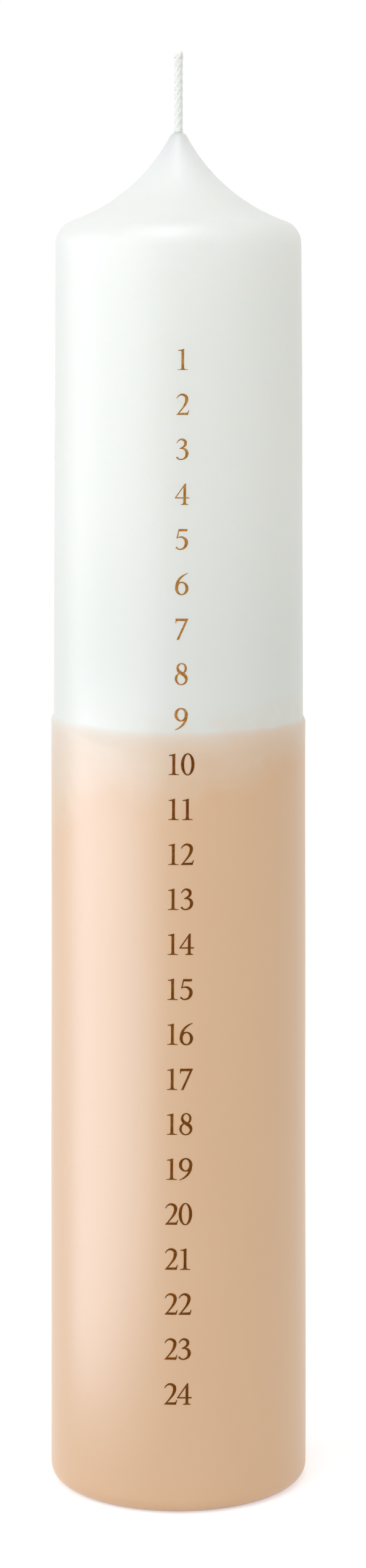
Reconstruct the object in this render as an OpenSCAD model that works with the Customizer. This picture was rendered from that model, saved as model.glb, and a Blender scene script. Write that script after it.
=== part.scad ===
// Calendar candle: a tall pillar of white wax, dipped in blush wax to a little over half
// its height, with a wick through the middle and a column of foil numerals down the front.
// Origin: centre of the base on the table. +Z is up and the numerals face -Y.

/* [White wax core] */
// Height of the wax tip above the table
wax_h = 290; // [240:1:330]
// Diameter of the core below the edge of the coat
core_d = 54; // [44:0.5:70]
// How much the core's radius is drawn in from the edge of the coat up to the shoulder
draw_in = 0.4; // [0:0.1:2]
// Height from the shoulder, where the straight side ends, to the wax tip
shoulder_drop = 24; // [18:0.5:36]
// Radius that rounds the shoulder
shoulder_round = 5.2; // [2:0.1:8]
// Radius of the hollow curve between the shoulder and the wax tip
hollow_r = 39; // [30:0.5:70]
// Thickness of the wax round the wick at the tip
tip_wall = 0.3; // [0.2:0.05:1.5]

/* [Dip coat] */
// Thickness of the blush coat on the side and under the base
coat_t = 0.5; // [0.3:0.05:1.2]
// Height of the coat's edge above the table
coat_h = 163.8; // [120:0.2:210]
// Height over which the coat thins out to its edge
lip_h = 1.5; // [0.8:0.1:4]
// Radius that rounds the coat's bottom edge
base_round = 2.8; // [2:0.1:5]

/* [Wick] */
// Diameter of the wick
wick_d = 1.9; // [1.2:0.1:4]
// Gap between the wick and the wax round it, which shrank as it set
wick_gap = 0.1; // [0.02:0.01:0.3]
// Length of the wick above the wax tip
wick_free = 17.5; // [8:0.5:30]
// How much the cut end is thicker than the wick
wick_flare = 0.3; // [0:0.05:0.8]
// Length of the thicker end
flare_h = 3.5; // [2:0.5:6]
// Slant of the cut across the wick, in degrees
cut_slant = 12; // [0:1:25]

/* [Numerals] */
// How many days the candle counts
days = 24; // [7:1:31]
// Height of a figure
figure_h = 4.45; // [3:0.05:6]
// Distance between the middles of the two figures of a numeral
figure_step = 2.9; // [2.2:0.05:4.5]
// Bare wax between the top of the first numeral and the shoulder
top_margin = 21.95; // [8:0.05:40]
// Height of the foot of the last numeral above the table
last_foot = 23.1; // [10:0.1:40]
// Sideways place of the numeral column at its middle
column_shift = 0.37; // [-3:0.01:3]
// Lean of the numeral column, towards +X at its top, in degrees
column_lean = 0.3; // [-1:0.01:1]
// Thickness of the foil
foil_t = 0.08; // [0.04:0.01:0.3]

/* [Hidden] */
$fn = 180;

core_r = core_d / 2;
coat_r = core_r + coat_t;
shoulder_z = wax_h - shoulder_drop;
shoulder_r = core_r - draw_in;
wick_r = wick_d / 2;
channel_r = wick_r + wick_gap;
tip_r = channel_r + tip_wall;
core_round = base_round - coat_t;

// The shoulder's rounding and the hollow above it touch in one point. The hollow's centre
// lies hollow_r from the tip and hollow_r + shoulder_round from the rounding's centre.
round_c = [shoulder_r - shoulder_round, shoulder_z];
tip_c = [tip_r, wax_h];
hollow_c = circles_meet(tip_c, hollow_r, round_c, hollow_r + shoulder_round);

// The coat's edge is an arc that leaves the side upright and ends on the core
lip_foot = coat_h - lip_h;
lip_r = (coat_t ^ 2 + lip_h ^ 2) / (2 * coat_t);

// The numerals are spread evenly from the first to the last
first_foot = shoulder_z - top_margin - figure_h;
pitch = (first_foot - last_foot) / (days - 1);
column_mid = (first_foot + last_foot + figure_h) / 2;

// How far the foil's cutting tools reach past what they cut, in figure heights or mm
figure_reach = 0.3;
cut_reach = 2;
// Straight pieces in each span of a stroke, in a ring and in the coat's edge
span_steps = 4;
ring_steps = 36;
lip_steps = 6;
// Radius of the drop that ends the lower stroke of some figures, in figure heights
drop_r = 0.042;

function numeral_name(day) = str("numeral_", day < 10 ? "0" : "", day);

// The outer one of the two points that lie ra from point a and rb from point b
function circles_meet(a, ra, b, rb) =
    let (
        d = norm(b - a),
        along = (ra ^ 2 - rb ^ 2 + d ^ 2) / (2 * d),
        off = sqrt(ra ^ 2 - along ^ 2),
        u = (b - a) / d
    )
    a + along * u + off * [-u[1], u[0]];

// Radius of the wax surface that the foil lies on, at height z
function skin_r(z) =
    z <= lip_foot ? coat_r :
    z < coat_h ? coat_r - lip_r + sqrt(lip_r ^ 2 - (z - lip_foot) ^ 2) :
    core_r - draw_in * (z - coat_h) / (shoulder_z - coat_h);

// Heights that the surface needs between z0 and z1, with those of the coat's edge
function skin_levels(z0, z1) = concat(
    [z0],
    [for (i = [0:lip_steps]) let (z = lip_foot + lip_h * i / lip_steps) if (z > z0 && z < z1) z],
    [z1]
);

module core_profile() {
    difference() {
        union() {
            polygon([
                [0, coat_t], [core_r - core_round, coat_t], [core_r, coat_t + core_round],
                [core_r, coat_h], [shoulder_r, shoulder_z], round_c, hollow_c, tip_c, [0, wax_h]
            ]);
            translate([core_r - core_round, coat_t + core_round]) circle(core_round);
        }
        translate(hollow_c) circle(hollow_r);
    }
    translate(round_c) circle(shoulder_round);
}

module coat_profile() {
    polygon([
        [0, 0], [coat_r - base_round, 0], [coat_r, base_round],
        [coat_r, lip_foot], [core_r, coat_h], [0, coat_h]
    ]);
    translate([coat_r - base_round, base_round]) circle(base_round);
    translate([coat_r - lip_r, lip_foot]) circle(lip_r);
}

module wax_core() {
    color("whitesmoke") rotate_extrude() difference() {
        core_profile();
        square([channel_r, wax_h]);
    }
}

module dip_coat() {
    color("burlywood") rotate_extrude() difference() {
        coat_profile();
        core_profile();
    }
}

// The wick runs from the core's base to its cut end above the tip
module wick() {
    end_z = wax_h + wick_free;
    end_r = wick_r + wick_flare / 2;
    color("gainsboro") difference() {
        rotate_extrude() polygon([
            [0, coat_t], [wick_r, coat_t], [wick_r, end_z - flare_h],
            [end_r, end_z - flare_h / 3], [end_r, end_z], [0, end_z]
        ]);
        translate([end_r, 0, end_z]) rotate([0, -cut_slant, 0])
            translate([-2 * wick_d, -wick_d, 0]) cube([3 * wick_d, 2 * wick_d, wick_d]);
    }
}

// The figures are drawn in figure heights, with x from the middle of the figure and y from
// its foot, and every outline runs anticlockwise. A stroke is a list of knots [x, y, breadth]
// that a smooth curve joins.

function knot(knots, i) = knots[max(0, min(len(knots) - 1, i))];

// Place on the smooth curve from knot i to the next, for t from 0 to 1
function along_span(knots, i, t) =
    let (a = knot(knots, i - 1), b = knot(knots, i), c = knot(knots, i + 1), d = knot(knots, i + 2))
    b + t * (c - a) / 2 + t ^ 2 * (a - 2.5 * b + 2 * c - d / 2) + t ^ 3 * (3 * (b - c) + d - a) / 2;

function spine(knots) = [
    for (i = [0:(len(knots) - 1) * span_steps])
        along_span(knots, floor(i / span_steps), (i % span_steps) / span_steps)
];

// The point beside place i of a spine, half a breadth to the left (side 1) or right (-1)
function beside(s, i, side) =
    let (
        ahead = knot(s, i + 1) - knot(s, i - 1),
        u = [ahead[0], ahead[1]] / norm([ahead[0], ahead[1]])
    )
    [s[i][0], s[i][1]] + side * s[i][2] / 2 * [-u[1], u[0]];

module stroke(knots) {
    s = spine(knots);
    last = len(s) - 1;
    polygon(concat(
        [for (i = [0:last]) beside(s, i, -1)],
        [for (i = [last:-1:0]) beside(s, i, 1)]
    ));
}

// A stroke whose end swells into a round drop
module drop_stroke(knots) {
    end = knots[len(knots) - 1];
    stroke(knots);
    translate([end[0], end[1]]) circle(drop_r, $fn = 24);
}

function oval(rx, ry) = [
    for (i = [0:ring_steps - 1]) let (a = 360 * i / ring_steps) [rx * cos(a), ry * sin(a)]
];

// An oval ring round [0, y], broad at its sides and thin at its top and bottom
module ring(y, rx, ry, broad, thin) {
    translate([0, y]) difference() {
        polygon(oval(rx, ry));
        polygon(oval(rx - broad, ry - thin));
    }
}

// A foot under an upright stem at x, with sides that sweep up to the stem
module foot_serif(x, half, stem) {
    translate([x, 0]) polygon([
        [-half, 0], [half, 0], [half, 0.022], [stem + 0.07, 0.035], [stem + 0.02, 0.055], [stem, 0.11],
        [-stem, 0.11], [-stem - 0.02, 0.055], [-stem - 0.07, 0.035], [-half, 0.022]
    ]);
}

module figure_0() ring(0.5, 0.315, 0.52, 0.14, 0.045);

module figure_1() {
    polygon([[-0.072, 0], [0.06, 0], [0.056, 0.5], [0.06, 1], [-0.072, 0.95], [-0.068, 0.5]]);
    polygon([
        [-0.235, 0.895], [-0.12, 0.905], [-0.078, 0.88], [-0.069, 0.83], [0.03, 0.83],
        [0.06, 1], [0, 0.985], [-0.12, 0.95], [-0.225, 0.93]
    ]);
    foot_serif(-0.005, 0.245, 0.065);
}

module figure_2() {
    stroke([
        [-0.28, 0.775, 0.035], [-0.2, 0.89, 0.05], [-0.04, 0.965, 0.085], [0.14, 0.89, 0.135],
        [0.19, 0.73, 0.15], [0.12, 0.5, 0.11], [-0.04, 0.27, 0.065], [-0.25, 0.02, 0.05]
    ]);
    polygon([
        [-0.3, 0], [0.25, 0], [0.31, 0.225], [0.285, 0.225], [0.215, 0.105], [-0.19, 0.095], [-0.3, 0.02]
    ]);
}

module figure_3() {
    stroke([
        [-0.265, 0.79, 0.035], [-0.19, 0.905, 0.05], [-0.05, 0.97, 0.08], [0.11, 0.9, 0.125],
        [0.145, 0.77, 0.13], [0.08, 0.64, 0.09], [-0.14, 0.525, 0.025]
    ]);
    drop_stroke([
        [-0.14, 0.525, 0.025], [0.02, 0.535, 0.065], [0.16, 0.46, 0.12], [0.215, 0.3, 0.15],
        [0.15, 0.12, 0.11], [-0.02, 0.025, 0.06], [-0.16, 0.035, 0.06], [-0.25, 0.105, 0.07]
    ]);
}

module figure_4() {
    difference() {
        polygon([[-0.345, 0.3], [0.18, 0.3], [0.18, 1], [0.12, 1], [-0.345, 0.335]]);
        polygon([[-0.27, 0.352], [0.055, 0.352], [0.055, 0.82]]);
    }
    polygon([[0.1, 0.3], [0.335, 0.3], [0.335, 0.352], [0.1, 0.352]]);
    polygon([[0.053, 0], [0.178, 0], [0.18, 0.5], [0.055, 0.5]]);
    foot_serif(0.1155, 0.185, 0.0625);
}

module figure_5() {
    polygon([[-0.18, 0.87], [0.235, 0.87], [0.265, 0.975], [-0.16, 0.975]]);
    polygon([[-0.26, 0.53], [-0.2, 0.55], [-0.115, 0.95], [-0.165, 0.95]]);
    drop_stroke([
        [-0.24, 0.555, 0.03], [-0.1, 0.6, 0.055], [0.06, 0.575, 0.1], [0.19, 0.445, 0.145],
        [0.2, 0.27, 0.15], [0.1, 0.09, 0.1], [-0.06, 0.025, 0.06], [-0.18, 0.04, 0.06], [-0.255, 0.1, 0.07]
    ]);
}

module figure_6() {
    stroke([
        [0.29, 1.015, 0.02], [0.1, 0.925, 0.06], [-0.1, 0.755, 0.095],
        [-0.215, 0.53, 0.125], [-0.24, 0.3, 0.14]
    ]);
    ring(0.297, 0.315, 0.317, 0.14, 0.055);
}

module figure_7() {
    polygon([
        [-0.29, 0.77], [-0.265, 0.77], [-0.225, 0.88], [0.25, 0.88], [0.31, 0.95], [0.31, 0.99], [-0.28, 0.99]
    ]);
    polygon([[-0.235, -0.012], [-0.12, 0], [0.31, 0.97], [0.19, 0.91]]);
}

module figure_8() {
    translate([0.015, 0]) ring(0.765, 0.245, 0.255, 0.1, 0.045);
    ring(0.275, 0.305, 0.295, 0.11, 0.045);
    stroke([
        [-0.18, 0.8, 0.08], [-0.14, 0.66, 0.125], [0, 0.54, 0.145], [0.17, 0.42, 0.145], [0.245, 0.25, 0.105]
    ]);
}

module figure_9() translate([0, 1]) rotate(180) figure_6();

module figure(n) {
    if (n == 0) figure_0();
    if (n == 1) figure_1();
    if (n == 2) figure_2();
    if (n == 3) figure_3();
    if (n == 4) figure_4();
    if (n == 5) figure_5();
    if (n == 6) figure_6();
    if (n == 7) figure_7();
    if (n == 8) figure_8();
    if (n == 9) figure_9();
}

// The numeral of one day in the plane of the front, with X across and Y up the candle
module numeral_drawing(day) {
    tens = floor(day / 10);
    units = day % 10;
    step = figure_step / figure_h;
    translate([column_shift, column_mid]) rotate(-column_lean)
        translate([0, first_foot - pitch * (day - 1) - column_mid]) scale(figure_h) {
            if (tens > 0) translate([-step / 2, 0]) figure(tens);
            translate([tens > 0 ? step / 2 : 0, 0]) figure(units);
        }
}

// A sleeve of foil on the wax from height z0 to z1
module foil_sleeve(z0, z1) {
    levels = skin_levels(z0, z1);
    last = len(levels) - 1;
    rotate_extrude() polygon(concat(
        [for (i = [0:last]) [skin_r(levels[i]) + foil_t, levels[i]]],
        [for (i = [last:-1:0]) [skin_r(levels[i]), levels[i]]]
    ));
}

// The foil of one numeral is the sleeve cut to the drawing
module numeral(day) {
    foot = first_foot - pitch * (day - 1);
    reach = figure_reach * figure_h;
    color("peru") intersection() {
        foil_sleeve(foot - reach, foot + figure_h + reach);
        translate([0, cut_reach - core_r, 0]) rotate([90, 0, 0])
            linear_extrude(coat_t + foil_t + 2 * cut_reach) numeral_drawing(day);
    }
}

wax_core();
dip_coat();
wick();
for (day = [1:days]) numeral(day);
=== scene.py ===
"""Looks of a dipped calendar candle: wax skins, a braided wick, foil numerals and a plain studio."""

import math

import bpy
import numpy as np
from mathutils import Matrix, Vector


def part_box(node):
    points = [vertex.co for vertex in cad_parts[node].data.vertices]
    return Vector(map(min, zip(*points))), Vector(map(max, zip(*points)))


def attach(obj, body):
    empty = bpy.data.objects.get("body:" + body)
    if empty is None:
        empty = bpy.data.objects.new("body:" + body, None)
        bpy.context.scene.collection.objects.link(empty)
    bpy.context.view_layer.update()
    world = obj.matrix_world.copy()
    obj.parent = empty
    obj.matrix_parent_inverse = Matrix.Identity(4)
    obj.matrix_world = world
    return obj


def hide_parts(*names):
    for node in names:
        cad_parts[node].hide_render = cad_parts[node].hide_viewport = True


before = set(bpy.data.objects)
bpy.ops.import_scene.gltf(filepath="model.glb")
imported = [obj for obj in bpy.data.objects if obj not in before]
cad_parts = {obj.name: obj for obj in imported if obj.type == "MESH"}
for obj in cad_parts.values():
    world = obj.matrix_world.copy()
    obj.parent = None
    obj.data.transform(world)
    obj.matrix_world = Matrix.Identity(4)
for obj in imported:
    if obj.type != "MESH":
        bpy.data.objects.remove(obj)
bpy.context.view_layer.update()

bl_info = {
    "name": "Calendar Candle",
    "version": (1, 0, 0),
    "blender": (4, 5, 0),
    "location": "3D Viewport > Sidebar > Candle",
    "description": "A dipped pillar candle with a braided wick and a column of foil numerals",
    "category": "Object",
}

MM = 0.001
CORE_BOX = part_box("wax_core")
COAT_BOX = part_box("dip_coat")
WICK_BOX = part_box("wick")
NUMERALS = sorted(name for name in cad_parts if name.startswith("numeral_"))


def tint(red, green, blue):
    """Linear colour of three display values from 0 to 255."""
    shares = np.array([red, green, blue]) / 255
    return tuple(np.where(shares <= 0.04045, shares / 12.92, ((shares + 0.055) / 1.055) ** 2.4).tolist())


def length(name, default, description):
    """A length in metres, given in millimetres."""
    return bpy.props.FloatProperty(
        name=name, description=description, default=default * MM, min=0.0, unit="LENGTH", precision=5
    )


def colour(name, default, description):
    """A colour, given in display values."""
    return bpy.props.FloatVectorProperty(
        name=name, description=description, default=tint(*default), size=3, min=0.0, max=1.0, subtype="COLOR"
    )


def share(name, default, description):
    """A plain number from 0 to 1."""
    return bpy.props.FloatProperty(
        name=name, description=description, default=default, min=0.0, max=1.0, subtype="FACTOR"
    )


def power(name, default, description):
    """The power of a lamp in watts."""
    return bpy.props.FloatProperty(name=name, description=description, default=default, min=0.0, unit="POWER")


class CoreSettings(bpy.types.PropertyGroup):
    """Sizes and colours of the white wax."""

    shoulder_drop: length("Shoulder drop", 24.0, "Height from the shoulder to the wax tip")
    shoulder_round: length("Shoulder rounding", 5.2, "Radius that rounds the shoulder")
    hollow_radius: length("Hollow radius", 39.0, "Radius of the hollow curve from the shoulder to the tip")
    draw_in: length("Draw-in", 0.4, "How much the radius shrinks from the coat's edge up to the shoulder")
    tip_radius: length("Tip radius", 1.45, "Radius of the wax at its tip, before the tip is rounded")
    tip_round: length("Tip rounding", 1.15, "Radius that rounds the wax at its tip")
    tip_climb: length("Tip climb", 0.3, "Height to which the wax climbs the wick")
    swell: length("Swell", 0.07, "How far the hand-dipped side wanders from a true cylinder")
    white: colour("White wax", (243, 244, 242), "Colour of the undyed wax")
    # Painted light: a lighter white for the tip round the wick, a painted highlight that brightens the tip
    painted_highlight_tip: colour("White tip", (252, 253, 253), "Colour of the undyed wax round the wick")


class CoatSettings(bpy.types.PropertyGroup):
    """Sizes and colour of the blush wax."""

    base_round: length("Base rounding", 2.8, "Radius that rounds the coat's bottom edge")
    thickness: length("Thickness", 0.5, "Thickness of the coat")
    lip: length("Lip", 1.8, "Height over which the coat thins out at the sides")
    front_lip: length("Front lip", 6.5, "Height over which the coat thins out in front and behind")
    bead: share("Bead", 0.04, "How much thicker the coat is just under its lip, as a share of its thickness")
    bead_height: length("Bead height", 2.2, "Height in which the bead dies away below the lip")
    sunk: length("Sunk edge", 0.02, "How deep the coat's edge and inner wall lie under the core's skin")
    tilt: length("Tilt", 0.25, "How much higher the edge lies on the left than in the middle")
    rise: length("Rise", 0.6, "How much higher the edge lies behind than in front")
    overrun: length("Overrun", 0.15, "How far the thinned edge runs up past the coat's plain height")
    blush: colour("Blush wax", (239, 198, 161), "Colour of the dyed wax")


class WickSettings(bpy.types.PropertyGroup):
    """Sizes and colour of the braided wick."""

    radius: length("Radius", 0.95, "Radius of the wick below its cut end")
    braid_depth: length("Braid depth", 5.0, "Depth in the wax at which the braid gives way to a plain rod")
    yarns: bpy.props.IntProperty(
        name="Yarns", description="Yarns that run each way round the wick", default=4, min=2, max=8
    )
    pitch: length("Pitch", 7.0, "Height in which a yarn goes once round the wick")
    yarn_width: length("Yarn width", 0.84, "Width of one flattened yarn")
    yarn_depth: length("Yarn depth", 0.4, "Thickness of one flattened yarn")
    weave_depth: length("Weave depth", 0.08, "How far a yarn moves in and out as it crosses the others")
    flare: length("Flare", 0.13, "How much further out the yarns lie at the cut end")
    cut_slant: length("Cut slant", 0.5, "How much lower the cut end lies on one side than on the other")
    fray: length("Fray", 0.08, "How far a yarn may end past the cut or short of it")
    cotton: colour("Cotton", (251, 251, 249), "Colour of the waxed cotton")


class FoilSettings(bpy.types.PropertyGroup):
    """Colours of the foil numerals."""

    on_white: colour("Foil on white", (143, 98, 44), "Colour of the foil that lies on white wax")
    on_blush: colour("Foil on blush", (92, 50, 8), "Colour of the foil that lies on blush wax")


class StageSettings(bpy.types.PropertyGroup):
    """Light, floor and camera."""

    front_power: power("Front light", 0.45, "Power of the lamp at the front left")
    side_power: power("Side light", 1.2, "Power of the lamp at the left")
    top_power: power("Top light", 0.68, "Power of the lamp overhead")
    gloss_power: power("Gloss light", 1.08, "Power that each softbox takes a part of, to show as a sheen")
    lamp_tint: colour("Lamp tint", (241, 247, 255), "Colour of the lamps")
    sky: share("Sky", 0.615, "Strength of the even light from all round")
    sky_tint: colour("Sky tint", (253, 254, 246), "Colour of the even light from all round")
    floor_tint: colour("Floor tint", (245, 245, 245), "Colour of the floor")
    floor_glow: share("Floor glow", 0.49, "Strength of the light that the floor adds to its own look alone")
    camera_distance: length("Camera distance", 795.0, "Distance of the camera from the candle's axis")
    camera_height: length("Camera height", 268.5, "Height of the camera above the table")
    lens: bpy.props.FloatProperty(
        name="Lens", description="Focal length of the camera in millimetres",
        default=84.2, min=1.0, unit="CAMERA",
    )
    shift: bpy.props.FloatVectorProperty(
        name="Lens shift", description="How far the view moves right and up, in shares of its longer side",
        default=(0.0029, -0.352), size=2,
    )


# Meshes


def ring_faces(rows, turns):
    """Faces over a grid of points whose rows are closed rings: a quad between each pair of neighbours, and
    at each end a fan of triangles to a pole. The two poles follow the grid in the list of points."""
    index = np.arange(rows * turns).reshape(rows, turns)
    lower, upper = index[:-1], index[1:]
    quads = np.stack([lower, np.roll(lower, -1, 1), np.roll(upper, -1, 1), upper], -1).reshape(-1, 4)
    start_pole = np.full(turns, rows * turns)
    start_fan = np.stack([start_pole, np.roll(index[0], -1), index[0]], -1)
    end_fan = np.stack([index[-1], np.roll(index[-1], -1), start_pole + 1], -1)
    return quads.tolist() + start_fan.tolist() + end_fan.tolist()


def ring_solid(points):
    """Points and faces of a closed surface over a grid of rings, with a pole in the middle of each end."""
    poles = [points[:1].mean(1), points[-1:].mean(1)]
    return np.concatenate([points.reshape(-1, 3), *poles]), ring_faces(*points.shape[:2])


def make_piece(name, solids, material, replaced):
    """One smooth object from several closed surfaces, which rides on the root body."""
    points, faces, offset = [], [], 0
    for some_points, some_faces in solids:
        points.append(some_points)
        faces += [[corner + offset for corner in face] for face in some_faces]
        offset += len(some_points)
    mesh = bpy.data.meshes.new(name)
    mesh.from_pydata(np.concatenate(points).tolist(), [], faces)
    mesh.polygons.foreach_set("use_smooth", np.ones(len(mesh.polygons), bool))
    mesh.materials.append(material)
    mesh.update()
    piece = bpy.data.objects.new(name, mesh)
    bpy.context.scene.collection.objects.link(piece)
    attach(piece, "root")
    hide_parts(replaced)
    return piece


def arc(centre, radius, start, end, steps):
    """Points on a circle from one angle to another, in degrees."""
    angle = np.radians(np.linspace(start, end, steps))
    return np.stack([centre[0] + radius * np.cos(angle), centre[1] + radius * np.sin(angle)], -1)


def line(start, end, steps):
    """Points on a straight line, without its ends."""
    return np.array(start) + np.linspace(0, 1, steps + 2)[1:-1, None] * (np.array(end) - np.array(start))


def circles_meet(a, a_radius, b, b_radius):
    """The point at the given distances from a and from b, on the left of the line from a to b: as far along
    it as the cosine rule says, and then square to it as far as Pythagoras leaves."""
    a, b = np.array(a), np.array(b)
    apart = np.linalg.norm(b - a)
    along = (a_radius**2 - b_radius**2 + apart**2) / (2 * apart)
    unit = (b - a) / apart
    return a + along * unit + math.sqrt(a_radius**2 - along**2) * np.array([-unit[1], unit[0]])


def bearing(centre, point):
    """Angle of a point seen from a centre, in degrees."""
    return math.degrees(math.atan2(point[1] - centre[1], point[0] - centre[0]))


TURNS = 240
TURN_ANGLES = np.linspace(0, 2 * math.pi, TURNS, endpoint=False)
# Angle from the front, -Y, towards +X
FRONT_ANGLES = np.angle(np.exp(1j * (TURN_ANGLES + math.pi / 2)))
# The foil lies on a true surface, so the skins wander only from about 0.2 radians off the front
FOIL_CLEAR = 1 - np.exp(-((FRONT_ANGLES / 0.3) ** 6))


def turned(radius, height):
    """Points of a surface of revolution: the radius times the cosine and sine of each turn's angle, and the
    height. Radius and height are each a column or a full grid."""
    radius, height = np.broadcast_arrays(radius, height + 0 * TURN_ANGLES)
    return np.stack([radius * np.cos(TURN_ANGLES), radius * np.sin(TURN_ANGLES), height], -1)


def all_round(column):
    """A grid with the same value all round at each height."""
    return np.repeat(column[:, None], TURNS, 1)


def side_swell(height):
    """How far the wax stands off a true cylinder: a sum of slow sine waves round and up the side, which
    dies away at the numerals, at the base and above the shoulder."""
    settings = bpy.context.scene.candle_core
    # Share of the swell, waves in one turn, climb in radians for each metre, and start
    waves = ((0.40, 2, 31, 0.7), (0.30, 3, -58, 2.1), (0.20, 5, 93, 4.0), (0.25, 1, -22, 1.3))
    wander = sum(
        part * np.sin(lobes * TURN_ANGLES + climb * height + start) for part, lobes, climb, start in waves
    )
    shoulder = CORE_BOX[1].z - settings.shoulder_drop
    foot_fade = np.clip(height / (12 * MM), 0, 1)
    shoulder_fade = np.clip((shoulder + 6 * MM - height) / (20 * MM), 0, 1)
    return settings.swell * wander * FOIL_CLEAR * foot_fade * shoulder_fade


def swelled(radius, height):
    """A radius with the side's swell added: none up to 0.8 of the core's radius, and all from 0.95."""
    side = CORE_BOX[1].x
    outside = np.clip((radius - 0.8 * side) / (0.15 * side), 0, 1)
    return radius + outside * side_swell(height)


def rim_height():
    """Height of the coat's edge: the CAD height and the overrun, plus the rise times half of one less the
    cosine of the angle from the front, less the tilt times its sine, and ripples that fade out in front."""
    settings = bpy.context.scene.candle_coat
    lift = settings.rise * (1 - np.cos(FRONT_ANGLES)) / 2 - settings.tilt * np.sin(FRONT_ANGLES)
    # Waves in one turn, depth in millimetres, and start
    waves = ((4, 0.12, 0.5), (7, 0.10, 1.0), (13, 0.07, 0.0))
    ripple = sum(depth * MM * np.sin(lobes * FRONT_ANGLES + start) for lobes, depth, start in waves)
    return COAT_BOX[1].z + settings.overrun + lift + ripple * FOIL_CLEAR


def yarn(path, width, depth, outward, turns=10):
    """A flattened tube along a path: an ellipse that lies across the path, with its thin side facing
    outwards. At both ends it closes in a quarter circle over three steps."""
    ahead = np.gradient(path, axis=0)
    ahead /= np.linalg.norm(ahead, axis=1, keepdims=True)
    outward = outward - (outward * ahead).sum(1, keepdims=True) * ahead
    outward /= np.linalg.norm(outward, axis=1, keepdims=True)
    across = np.cross(outward, ahead)
    angle = np.linspace(0, 2 * math.pi, turns, endpoint=False)[None, :, None]
    steps = np.arange(len(path))
    from_end = np.minimum(steps, steps[::-1])[:, None, None]
    close = np.sqrt(1 - np.clip(1 - (from_end + 0.3) / 3, 0, 1) ** 2)
    return path[:, None] + close * (
        width / 2 * np.cos(angle) * across[:, None] + depth / 2 * np.sin(angle) * outward[:, None]
    )


# Materials


def add_node(tree, kind, inputs=None, **settings):
    """A node with its settings made and its inputs set, or linked where a socket is given."""
    node = tree.nodes.new(kind)
    for key, value in settings.items():
        setattr(node, key, value)
    for key, value in (inputs or {}).items():
        if isinstance(value, bpy.types.NodeSocket):
            tree.links.new(value, node.inputs[key])
        else:
            node.inputs[key].default_value = value
    return node


def maths(tree, operation, *values, clamp=False):
    """The result of a Math node."""
    return add_node(
        tree, "ShaderNodeMath", dict(enumerate(values)), operation=operation, use_clamp=clamp
    ).outputs[0]


def blend(tree, factor, first, second):
    """A colour between two others."""
    inputs = {0: factor, 6: first, 7: second}
    return add_node(tree, "ShaderNodeMix", inputs, data_type="RGBA").outputs[2]


def ramp(tree, value, from_min, from_max, to_min=0.0, to_max=1.0):
    """A value moved smoothly from one range to another."""
    inputs = {"Value": value, "From Min": from_min, "From Max": from_max, "To Min": to_min, "To Max": to_max}
    return add_node(tree, "ShaderNodeMapRange", inputs, interpolation_type="SMOOTHSTEP").outputs[0]


def noise(tree, vector, scale, detail=3.0, stretch=(1, 1, 1)):
    """Noise with lumps one over the scale apart, in metres or in the map's units."""
    moved = add_node(tree, "ShaderNodeMapping", {"Vector": vector, "Scale": stretch}).outputs[0]
    inputs = {"Vector": moved, "Scale": scale, "Detail": detail}
    return add_node(tree, "ShaderNodeTexNoise", inputs).outputs["Fac"]


def bump(tree, height, strength, distance):
    """The normal of a bumped surface."""
    inputs = {"Height": height, "Strength": strength, "Distance": distance}
    return add_node(tree, "ShaderNodeBump", inputs).outputs[0]


def object_place(tree):
    """The place on the object."""
    return add_node(tree, "ShaderNodeTexCoord").outputs["Object"]


def along_axis(tree, place, axis):
    """One coordinate of a place."""
    return add_node(tree, "ShaderNodeSeparateXYZ", {0: place}).outputs[axis]


def opaque(rgb):
    """A colour with full alpha."""
    return (*rgb, 1.0)


def seen_plainly(tree):
    """1 where the camera sees a thing, directly, in a gloss or through glass, and 0 where it only lights
    others."""
    path = add_node(tree, "ShaderNodeLightPath").outputs
    seen = maths(tree, "ADD", path["Is Camera Ray"], path["Is Glossy Ray"], clamp=True)
    return maths(tree, "ADD", seen, path["Is Transmission Ray"], clamp=True)


def new_group(name, inputs, outputs):
    """Tree, inputs and output node of an empty node group, which takes a vector and then plain values."""
    tree = bpy.data.node_groups.new(name, "ShaderNodeTree")
    tree.interface.new_socket("Vector", in_out="INPUT", socket_type="NodeSocketVector")
    for label, default in inputs.items():
        socket = tree.interface.new_socket(label, in_out="INPUT", socket_type="NodeSocketFloat")
        socket.default_value = default
    for label in outputs:
        tree.interface.new_socket(label, in_out="OUTPUT", socket_type="NodeSocketFloat")
    return tree, tree.nodes.new("NodeGroupInput").outputs, tree.nodes.new("NodeGroupOutput")


def wax_grain_group():
    """Skin of satin wax. Cloud is a slow change of tone, Roughness varies round its middle, and Height has
    a fine orange-peel skin and faint upright marks from dipping."""
    name = "wax_grain"
    if name in bpy.data.node_groups:
        return bpy.data.node_groups[name]
    tree, given, out = new_group(name, {"Roughness": 0.4, "Spread": 0.1}, ["Cloud", "Roughness", "Height"])
    cloud = noise(tree, given["Vector"], 60.0, detail=4.0, stretch=(1, 1, 0.5))
    skin = noise(tree, given["Vector"], 700.0)
    marks = noise(tree, given["Vector"], 420.0, detail=2.0, stretch=(1, 1, 0.04))
    offset = maths(tree, "SUBTRACT", cloud, 0.5)
    rough = maths(tree, "MULTIPLY_ADD", offset, given["Spread"], given["Roughness"])
    height = maths(tree, "MULTIPLY_ADD", marks, 0.6, skin)
    for socket, value in (("Cloud", cloud), ("Roughness", rough), ("Height", height)):
        tree.links.new(value, out.inputs[socket])
    return tree


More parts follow.
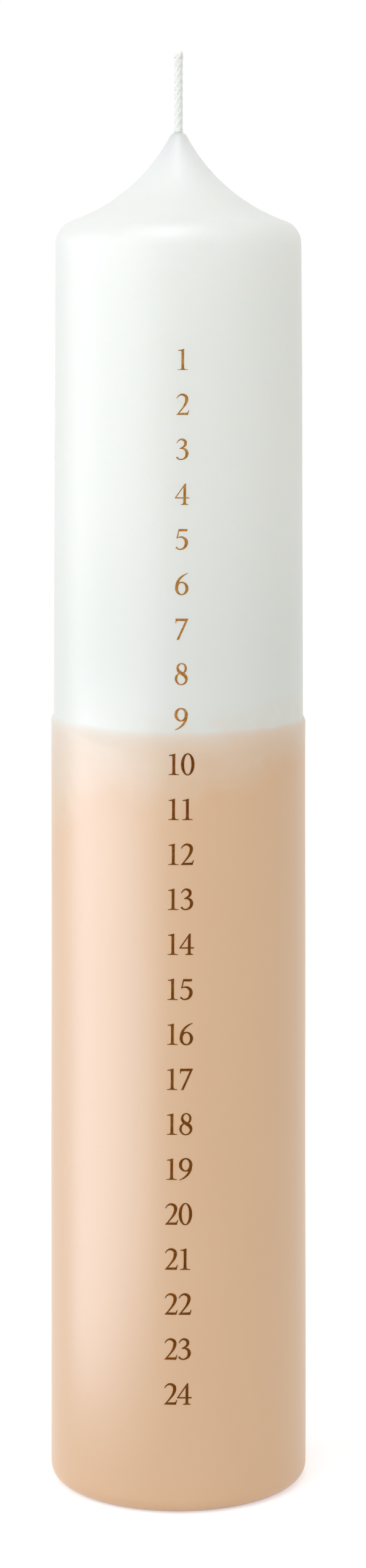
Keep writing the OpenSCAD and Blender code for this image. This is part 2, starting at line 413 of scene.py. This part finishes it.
def foil_grain_group():
    """Grain of hot-stamped foil. Fleck marks the small places where it took less well, and Height its
    crumple."""
    name = "foil_grain"
    if name in bpy.data.node_groups:
        return bpy.data.node_groups[name]
    tree, given, out = new_group(name, {"Flecks": 0.5}, ["Fleck", "Height"])
    fine = noise(tree, given["Vector"], 5200.0, detail=2.0)
    broad = noise(tree, given["Vector"], 1300.0, detail=2.0)
    crumple = maths(tree, "MULTIPLY_ADD", broad, 0.5, maths(tree, "MULTIPLY", fine, 0.5))
    fleck = ramp(tree, crumple, 0.44, 0.6)
    tree.links.new(maths(tree, "MULTIPLY", fleck, given["Flecks"]), out.inputs["Fleck"])
    tree.links.new(crumple, out.inputs["Height"])
    return tree


def new_material(name, **constants):
    """A material, its tree and its Principled shader, whose unlinked sockets get the given values."""
    material = bpy.data.materials.new(name)
    material.use_nodes = True
    tree = material.node_tree
    shader = tree.nodes["Principled BSDF"]
    for socket, value in constants.items():
        shader.inputs[socket.replace("_", " ")].default_value = value
    return material, tree, shader


# Sockets that both waxes set alike
WAX_GLOSS = {"IOR": 1.45, "Coat_Weight": 0.45, "Coat_Roughness": 0.4}


def wax_skin(tree, shader, place):
    """Joins the wax grain to a shader, apart from its colour, and gives the slow cloud of tone."""
    grain = add_node(tree, "ShaderNodeGroup", node_tree=wax_grain_group())
    tree.links.new(place, grain.inputs["Vector"])
    grain.inputs["Roughness"].default_value = 0.42
    tree.links.new(grain.outputs["Roughness"], shader.inputs["Roughness"])
    normal = bump(tree, grain.outputs["Height"], strength=0.25, distance=0.02 * MM)
    tree.links.new(normal, shader.inputs["Normal"])
    return grain.outputs["Cloud"]


def dip_side(tree, place, amount):
    """A factor that grows from the left side to the right, where the dye took faster: one, and the amount
    times the share of the radius that lies to the right."""
    return maths(tree, "MULTIPLY_ADD", along_axis(tree, place, "X"), amount / CORE_BOX[1].x, 1.0)


def white_tone(tree, cloud):
    """The undyed wax's colour, a little darker where the cloud is thin."""
    white = bpy.context.scene.candle_core.white
    return blend(tree, cloud, opaque([0.97 * part for part in white]), opaque(white))


def stain(tree, place, height):
    """How much dye has crept into the white round the coat's edge, in patches and more of it on the
    right."""
    level = COAT_BOX[1].z
    near = ramp(tree, height, level + 8 * MM, level - 2 * MM)
    patchy = ramp(tree, noise(tree, place, 110.0), 0.35, 0.65, to_min=0.03, to_max=0.15)
    return maths(tree, "MULTIPLY", maths(tree, "MULTIPLY", near, patchy), dip_side(tree, place, 0.8))


def white_wax():
    """Undyed wax, stained by the dye just above the coat's edge, and painted lighter near the tip round the
    wick, as painted light that brightens the tip. It is translucent from a little above the coat upwards."""
    material, tree, shader = new_material(
        "white_wax", Subsurface_Radius=(1.0, 0.9, 0.75), Subsurface_Scale=40 * MM, **WAX_GLOSS
    )
    place = object_place(tree)
    height = along_axis(tree, place, "Z")
    cloud = wax_skin(tree, shader, place)
    level, top = COAT_BOX[1].z, CORE_BOX[1].z
    translucent = ramp(tree, height, level + 8 * MM, level + 55 * MM)
    tree.links.new(translucent, shader.inputs["Subsurface Weight"])
    # Painted highlight: over the top 16 mm the wax turns to the lighter tip colour, to brighten the thin tip
    painted_highlight_share = ramp(tree, height, top - 16 * MM, top - 2 * MM)
    tone = blend(tree, painted_highlight_share, white_tone(tree, cloud), opaque(bpy.context.scene.candle_core.painted_highlight_tip))
    blush = opaque(bpy.context.scene.candle_coat.blush)
    tree.links.new(blend(tree, stain(tree, place, height), tone, blush), shader.inputs["Base Color"])
    return material


def blush_wax():
    """Dyed wax, which lets the white below show through where it thins out. Two thirds of the dye come
    within a few millimetres of the edge, as one less an exponential decay with the depth, and the rest
    more slowly."""
    material, tree, shader = new_material("blush_wax", **WAX_GLOSS)
    place = object_place(tree)
    cloud = wax_skin(tree, shader, place)
    blush = bpy.context.scene.candle_coat.blush
    deep_blush = opaque([blush[0] * 0.97, blush[1] * 0.95, blush[2] * 0.93])
    tone = blend(tree, cloud, deep_blush, opaque(blush))
    # Depth below the edge in millimetres, stretched and squeezed in patches
    depth = add_node(tree, "ShaderNodeAttribute", attribute_name="rim_depth").outputs["Fac"]
    patchy = ramp(tree, noise(tree, place, 70.0, detail=4.0), 0.3, 0.7, to_min=0.85, to_max=1.45)
    worked = maths(tree, "MULTIPLY", maths(tree, "MULTIPLY", depth, patchy), dip_side(tree, place, 0.5))
    quick_share = 0.66
    decay = maths(tree, "EXPONENT", maths(tree, "MULTIPLY", worked, -0.65))
    quick = maths(tree, "MULTIPLY_ADD", decay, -quick_share, quick_share)
    slow = ramp(tree, worked, 2.5, 18.0, to_max=1 - quick_share)
    coated = maths(tree, "ADD", quick, slow, clamp=True)
    bare = maths(tree, "SUBTRACT", 1.0, coated)
    dye = maths(tree, "MULTIPLY_ADD", stain(tree, place, along_axis(tree, place, "Z")), bare, coated)
    tree.links.new(blend(tree, dye, white_tone(tree, cloud), tone), shader.inputs["Base Color"])
    return material


def waxed_cotton():
    """Bleached cotton soaked in wax, with fine fibres along each yarn."""
    material, tree, shader = new_material("waxed_cotton", Sheen_Weight=0.4, Specular_IOR_Level=0.8)
    along = add_node(tree, "ShaderNodeUVMap", uv_map="yarn").outputs[0]
    fibres = noise(tree, along, 9.0, stretch=(3.0, 0.4, 1))
    cotton = bpy.context.scene.candle_wick.cotton
    shade = blend(tree, fibres, opaque([0.93 * part for part in cotton]), opaque(cotton))
    tree.links.new(shade, shader.inputs["Base Color"])
    tree.links.new(ramp(tree, fibres, 0.2, 0.8, to_min=0.5, to_max=0.75), shader.inputs["Roughness"])
    tree.links.new(bump(tree, fibres, strength=0.5, distance=0.03 * MM), shader.inputs["Normal"])
    return material


def gold_foil(name, base, flecks):
    """Dull bronze-gold foil with lighter flecks."""
    material, tree, shader = new_material(name, Metallic=1.0)
    grain = add_node(tree, "ShaderNodeGroup", {"Flecks": flecks}, node_tree=foil_grain_group())
    tree.links.new(object_place(tree), grain.inputs["Vector"])
    light = opaque([min(1.0, 1.65 * part + 0.01) for part in base])
    tree.links.new(blend(tree, grain.outputs["Fleck"], opaque(base), light), shader.inputs["Base Color"])
    crumple = grain.outputs["Height"]
    tree.links.new(ramp(tree, crumple, 0.3, 0.7, to_min=0.3, to_max=0.5), shader.inputs["Roughness"])
    tree.links.new(bump(tree, crumple, strength=0.4, distance=0.02 * MM), shader.inputs["Normal"])
    return material


# Operators


class CANDLE_OT_core(bpy.types.Operator):
    """Makes the white wax, from its base up to its tip, where it closes round the wick"""

    bl_idname = "candle.make_core"
    bl_label = "White wax"

    def execute(self, context):
        radius, height = np.hsplit(self.outline(context.scene), 2)
        solid = ring_solid(turned(swelled(radius, height), height))
        make_piece("white_wax_body", [solid], white_wax(), "wax_core")
        return {"FINISHED"}

    @staticmethod
    def outline(scene):
        """Radius and height from the middle of the base up to the middle of the wick. The hollow is part of
        a circle through the tip that touches the shoulder's rounding. The tip's rounding touches it too,
        and is as high as the tip."""
        core, coat = scene.candle_core, scene.candle_coat
        bottom, top = CORE_BOX[0].z, CORE_BOX[1].z
        radius = CORE_BOX[1].x
        edge = COAT_BOX[1].z
        foot_round = coat.base_round - coat.thickness
        shoulder = top - core.shoulder_drop
        neck = radius - core.draw_in
        shoulder_centre = (neck - core.shoulder_round, shoulder)
        hollow_centre = circles_meet(
            (core.tip_radius, top), core.hollow_radius,
            shoulder_centre, core.hollow_radius + core.shoulder_round,
        )
        tip_centre_z = top - core.tip_round
        reach = core.hollow_radius + core.tip_round
        sideways = math.sqrt(reach**2 - (hollow_centre[1] - tip_centre_z) ** 2)
        tip_centre = (hollow_centre[0] - sideways, tip_centre_z)
        shoulder_end = bearing(shoulder_centre, hollow_centre)
        tip_start = bearing(tip_centre, hollow_centre)
        wick_radius = scene.candle_wick.radius
        climbed = top + core.tip_climb
        return np.concatenate([
            line((0, bottom), (radius - foot_round, bottom), 8),
            arc((radius - foot_round, bottom + foot_round), foot_round, -90, 0, 10),
            line((radius, bottom + foot_round), (radius, edge), 60),
            [(radius, edge)],
            line((radius, edge), (neck, shoulder), 44),
            arc(shoulder_centre, core.shoulder_round, 0, shoulder_end, 24),
            arc(hollow_centre, core.hollow_radius, shoulder_end + 180, tip_start + 180, 46)[1:-1],
            arc(tip_centre, core.tip_round, tip_start, 80, 10),
            line((wick_radius + 0.05 * MM, top), (wick_radius, climbed), 2),
            line((wick_radius, climbed), (0, climbed), 2),
        ])


class CANDLE_OT_coat(bpy.types.Operator):
    """Makes the blush wax cup round the lower part, with its wavering edge"""

    bl_idname = "candle.make_coat"
    bl_label = "Blush wax"

    def execute(self, context):
        settings = context.scene.candle_coat
        rim = rim_height()
        outer_radius, outer_height = self.outside(settings, rim)
        inner_radius, inner_height = self.inside(settings, outer_height[-1])
        height = np.concatenate([outer_height, inner_height])
        radius = swelled(np.concatenate([outer_radius, inner_radius]), height)
        piece = make_piece(
            "blush_wax_coat", [ring_solid(turned(radius, height))], blush_wax(), "dip_coat"
        )
        # Both poles lie in the floor, and count as 100 mm deep
        depth = np.append((rim - height) / MM, [100.0, 100.0]).astype(np.float32)
        piece.data.attributes.new("rim_depth", "FLOAT", "POINT").data.foreach_set("value", depth)
        return {"FINISHED"}

    @staticmethod
    def outside(settings, rim):
        """Radius and height from the middle of the base up to the edge. The lip's thickness falls as one
        less a smooth step, and sinks a little below the core's skin, so that it comes out of the white
        wax at a point. Just under the lip is a bead, which dies away downwards as a bell curve."""
        outer, inner = COAT_BOX[1].x, CORE_BOX[1].x
        rounding = settings.base_round
        lip = settings.lip + (settings.front_lip - settings.lip) * np.cos(FRONT_ANGLES) ** 2
        # Near its end the lip is three times the coat's thickness times the square of the share of it that is
        # still to come, and where that is less than the sunk depth it lies under the core's skin
        sunk_share = math.sqrt(settings.sunk / (3 * settings.thickness))
        lip_foot = rim - (1 - sunk_share) * lip
        base = np.concatenate([
            line((0, 0), (outer - rounding, 0), 8),
            arc((outer - rounding, rounding), rounding, -90, 0, 14),
        ])
        side_share = np.linspace(0, 1, 82)[1:-1, None]
        side_height = rounding + side_share * (lip_foot - rounding)
        height = np.concatenate([all_round(base[:, 1]), side_height])
        radius = np.concatenate([all_round(base[:, 0]), np.full_like(side_height, outer)])
        bead = settings.bead * settings.thickness * FOIL_CLEAR
        radius = radius + bead * np.exp(-(((lip_foot - height) / settings.bead_height) ** 2))
        lip_share = np.linspace(0, 1, 16)[:, None]
        thinned = 1 - lip_share**2 * (3 - 2 * lip_share)
        lip_radius = inner + settings.thickness * thinned - settings.sunk * lip_share + bead * thinned
        return np.concatenate([radius, lip_radius]), np.concatenate([height, lip_foot + lip * lip_share])

    @staticmethod
    def inside(settings, edge):
        """Radius and height down the inner wall, which is sunk in the core, to the middle of the floor."""
        inner = CORE_BOX[1].x
        floor = settings.thickness
        rounding = settings.base_round - floor
        wall_share = np.linspace(1, 0, 42)[:-1, None]
        wall_height = floor + rounding + wall_share * (edge - floor - rounding)
        base = np.concatenate([
            arc((inner - rounding, floor + rounding), rounding, 0, -90, 10),
            line((inner - rounding, floor), (0, floor), 8),
        ])
        radius = np.concatenate([np.full_like(wall_height, inner - settings.sunk), all_round(base[:, 0])])
        return radius, np.concatenate([wall_height, all_round(base[:, 1])])


class CANDLE_OT_wick(bpy.types.Operator):
    """Makes the braided wick: yarns that run both ways round and pass over and under each other"""

    bl_idname = "candle.make_wick"
    bl_label = "Wick"

    def execute(self, context):
        settings = context.scene.candle_wick
        start = CORE_BOX[1].z - settings.braid_depth
        middle = settings.radius - settings.weave_depth - settings.yarn_depth / 2
        grids = [self.rod(settings.radius - 0.03 * MM, start), self.heart(2.2 * middle, start)]
        for hand in (1, -1):
            grids += [self.strand(settings, middle, start, hand, number) for number in range(settings.yarns)]
        solids = [ring_solid(grid) for grid in grids]
        piece = make_piece("braided_wick", solids, waxed_cotton(), "wick")
        self.lay_fibres(piece.data, grids)
        return {"FINISHED"}

    @staticmethod
    def rod(radius, top, turns=24):
        """Rings of the plain rod inside the wax, with its ends rounded off."""
        bottom = WICK_BOX[0].z
        ring = np.linspace(0, 2 * math.pi, turns, endpoint=False)
        height = np.array([bottom, bottom + 0.1 * MM, (bottom + top) / 2, top, top + 0.3 * MM])
        radius = radius * np.array([[0.8], [1.0], [1.0], [1.0], [0.8]])
        across = [radius * np.cos(ring), radius * np.sin(ring)]
        return np.stack([*across, np.repeat(height[:, None], turns, 1)], -1)

    @staticmethod
    def heart(width, start, steps=60):
        """Rings of the round heart, which fills the braid from inside and ends 0.8 mm below its cut end."""
        height = np.linspace(start, WICK_BOX[1].z - 0.8 * MM, steps)
        path = np.stack([0 * height, 0 * height, height], -1)
        return yarn(path, width, width, np.tile([1.0, 0.0, 0.0], (steps, 1)), 16)

    @staticmethod
    def strand(settings, middle, start, hand, number):
        """Rings of one yarn: a helix of either hand, whose radius goes in and out by a cosine as it crosses
        the others, and grows over 3 mm near the cut end. The cut slants as a cosine of the angle there."""
        top = WICK_BOX[1].z
        first_angle = 2 * math.pi * number / settings.yarns
        angle_at_top = first_angle + hand * 2 * math.pi * top / settings.pitch
        half_slant = settings.cut_slant / 2
        unevenness = settings.fray * math.sin(5.1 * number + hand)
        end = top - half_slant + half_slant * math.cos(angle_at_top) + unevenness
        height = np.linspace(start, end, 220)
        turn = 2 * math.pi * height / settings.pitch
        angle = first_angle + hand * turn
        flare = settings.flare * np.clip((height - top + 3.5 * MM) / (3 * MM), 0, 1) ** 2
        radius = middle + flare + hand * settings.weave_depth * np.cos(settings.yarns * turn)
        outward = np.stack([np.cos(angle), np.sin(angle), 0 * angle], -1)
        path = np.stack([radius * np.cos(angle), radius * np.sin(angle), height], -1)
        return yarn(path, settings.yarn_width, settings.yarn_depth, outward)

    @staticmethod
    def lay_fibres(mesh, grids):
        """Fills the UV map: U up and down again once round each tube, V along it in millimetres."""
        places = []
        for grid in grids:
            turns = grid.shape[1]
            run = np.linalg.norm(np.diff(grid.mean(1), axis=0), axis=1)
            along = np.concatenate([[0.0], np.cumsum(run)]) / MM
            around = np.abs(np.arange(turns) / turns - 0.5) * 2
            places.append(np.stack(np.broadcast_arrays(around, along[:, None]), -1).reshape(-1, 2))
            places.append(np.array([[0.5, along[0]], [0.5, along[-1]]]))
        corner = np.empty(len(mesh.loops), np.int32)
        mesh.loops.foreach_get("vertex_index", corner)
        layer = mesh.uv_layers.new(name="yarn")
        layer.data.foreach_set("uv", np.concatenate(places)[corner].astype(np.float32).ravel())


class CANDLE_OT_numerals(bpy.types.Operator):
    """Gives the numerals their foil"""

    bl_idname = "candle.finish_numerals"
    bl_label = "Foil numerals"

    def execute(self, context):
        settings = context.scene.candle_foil
        on_white = gold_foil("foil_on_white", settings.on_white, flecks=0.9)
        on_blush = gold_foil("foil_on_blush", settings.on_blush, flecks=0.5)
        for name in NUMERALS:
            foil = on_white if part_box(name)[0].z > COAT_BOX[1].z else on_blush
            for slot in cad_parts[name].material_slots:
                slot.material = foil
        return {"FINISHED"}


class CANDLE_OT_stage(bpy.types.Operator):
    """Makes the camera, the floor and the light"""

    bl_idname = "candle.make_stage"
    bl_label = "Studio"

    def execute(self, context):
        settings = context.scene.candle_stage
        self.make_camera(context, settings)
        self.make_floor(context, settings)
        self.make_sky(context, settings)
        self.make_lamps(context, settings)
        self.make_softboxes(context, settings)
        context.scene.view_settings.view_transform = "Standard"
        return {"FINISHED"}

    @staticmethod
    def make_camera(context, settings):
        """The camera looks level at the candle, with its lens shifted down."""
        view = bpy.data.cameras.new("camera")
        view.lens = settings.lens
        view.shift_x, view.shift_y = settings.shift
        view.clip_start, view.clip_end = 0.01, 50
        camera = bpy.data.objects.new("camera", view)
        camera.location = (0, -settings.camera_distance, settings.camera_height)
        camera.rotation_euler = (math.pi / 2, 0, 0)
        context.scene.collection.objects.link(camera)
        context.scene.camera = camera

    @staticmethod
    def make_floor(context, settings):
        """A wide disc, just low enough not to lie in one plane with the candle's base."""
        material = bpy.data.materials.new("floor")
        material.use_nodes = True
        tree = material.node_tree
        tree.nodes.clear()
        surface = add_node(tree, "ShaderNodeBsdfDiffuse", {"Color": opaque(settings.floor_tint)}).outputs[0]
        strength = maths(tree, "MULTIPLY", seen_plainly(tree), settings.floor_glow)
        # A little blue, to make white with the sky's warm tint
        glow_tint = (0.92, 0.92, 1.0, 1.0)
        glow = add_node(tree, "ShaderNodeEmission", {"Color": glow_tint, "Strength": strength}).outputs[0]
        both = add_node(tree, "ShaderNodeAddShader", {0: surface, 1: glow}).outputs[0]
        add_node(tree, "ShaderNodeOutputMaterial", {"Surface": both})
        radius = 6.0
        drop = 0.05 * MM
        corners = 96
        angle = np.linspace(0, 2 * math.pi, corners, endpoint=False)
        disc = radius * np.stack([np.cos(angle), np.sin(angle), 0 * angle], -1) - [0, 0, drop]
        mesh = bpy.data.meshes.new("floor")
        mesh.from_pydata(disc.tolist(), [], [list(range(corners))])
        mesh.materials.append(material)
        floor = bpy.data.objects.new("floor", mesh)
        context.scene.collection.objects.link(floor)

    @staticmethod
    def make_sky(context, settings):
        """An even light from all round, which is plain white where it is seen."""
        sky = bpy.data.worlds.new("sky")
        sky.use_nodes = True
        tree = sky.node_tree
        lit = opaque([settings.sky * part for part in settings.sky_tint])
        shade = blend(tree, seen_plainly(tree), lit, (1, 1, 1, 1))
        tree.links.new(shade, tree.nodes["Background"].inputs["Color"])
        tree.nodes["Background"].inputs["Strength"].default_value = 1.0
        context.scene.world = sky

    def make_lamps(self, context, settings):
        """Lamps that light the wax, with places and sizes in metres."""
        beside = (0.42, 0.54)
        self.make_lamp(context, "front_lamp", settings.front_power, (-0.485, -0.692, 0.28), beside)
        self.make_lamp(context, "side_lamp", settings.side_power, (-0.816, 0.219, 0.28), beside)
        self.make_lamp(context, "top_lamp", settings.top_power, (-0.09, -0.28, 0.58), (0.4, 0.3))

    def make_softboxes(self, context, settings):
        """Lamps that show only as a sheen: two beside the candle, one above the other, and one over the
        tip. The spread of the two lessens their flare along the candle's edge when seen from behind."""
        # Name, part of the power, place, size, point beside the axis that it faces, and spread in degrees
        for name, part, place, size, aim, spread in (
            ("low_gloss_lamp", 0.222, (-0.073, -0.076, 0.0805), (0.168, 0.153), (0, -0.058), 136),
            ("high_gloss_lamp", 0.223, (-0.141, -0.1225, 0.249), (0.308, 0.202), (0, -0.0875), 136),
            ("tip_gloss_lamp", 0.36, (-0.04, -0.15, 0.545), (0.14, 0.34), (0, 0), 180),
        ):
            softbox = self.make_lamp(context, name, part * settings.gloss_power, place, size, aim)
            softbox.data.spread = math.radians(spread)
            softbox.visible_diffuse = False
            softbox.data.cycles.use_multiple_importance_sampling = False

    @staticmethod
    def make_lamp(context, name, watts, place, size, aim=(0, 0)):
        """An area lamp that looks level, or down to just below the wax tip where it hangs higher."""
        lamp = bpy.data.lights.new(name, "AREA")
        lamp.shape = "RECTANGLE"
        lamp.size, lamp.size_y = size
        lamp.energy = watts
        lamp.color = context.scene.candle_stage.lamp_tint
        holder = bpy.data.objects.new(name, lamp)
        holder.location = place
        highest_aim = 0.28
        ahead = Vector((*aim, min(place[2], highest_aim))) - holder.location
        holder.rotation_euler = ahead.to_track_quat("-Z", "Y").to_euler()
        holder.visible_camera = False
        context.scene.collection.objects.link(holder)
        return holder


class CANDLE_PT_panel(bpy.types.Panel):
    """Lists the candle's settings and the buttons that make its pieces"""

    bl_idname = "CANDLE_PT_panel"
    bl_label = "Calendar Candle"
    bl_space_type = "VIEW_3D"
    bl_region_type = "UI"
    bl_category = "Candle"

    def draw(self, context):
        for group, operator in STEPS:
            box = self.layout.box()
            settings = getattr(context.scene, group)
            for prop in settings.bl_rna.properties:
                if prop.identifier not in ("rna_type", "name"):
                    box.prop(settings, prop.identifier)
            box.operator(operator.bl_idname)


GROUPS = {
    "candle_core": CoreSettings,
    "candle_coat": CoatSettings,
    "candle_wick": WickSettings,
    "candle_foil": FoilSettings,
    "candle_stage": StageSettings,
}
STEPS = (
    ("candle_core", CANDLE_OT_core),
    ("candle_coat", CANDLE_OT_coat),
    ("candle_wick", CANDLE_OT_wick),
    ("candle_foil", CANDLE_OT_numerals),
    ("candle_stage", CANDLE_OT_stage),
)
CLASSES = (*GROUPS.values(), *(operator for _, operator in STEPS), CANDLE_PT_panel)


def register():
    for item in CLASSES:
        bpy.utils.register_class(item)
    for name, group in GROUPS.items():
        setattr(bpy.types.Scene, name, bpy.props.PointerProperty(type=group))


def unregister():
    for name in GROUPS:
        delattr(bpy.types.Scene, name)
    for item in reversed(CLASSES):
        bpy.utils.unregister_class(item)


def main():
    """Makes every piece."""
    register()
    bpy.ops.candle.make_stage()
    bpy.ops.candle.make_core()
    bpy.ops.candle.make_coat()
    bpy.ops.candle.make_wick()
    bpy.ops.candle.finish_numerals()


if __name__ == "__main__":
    main()
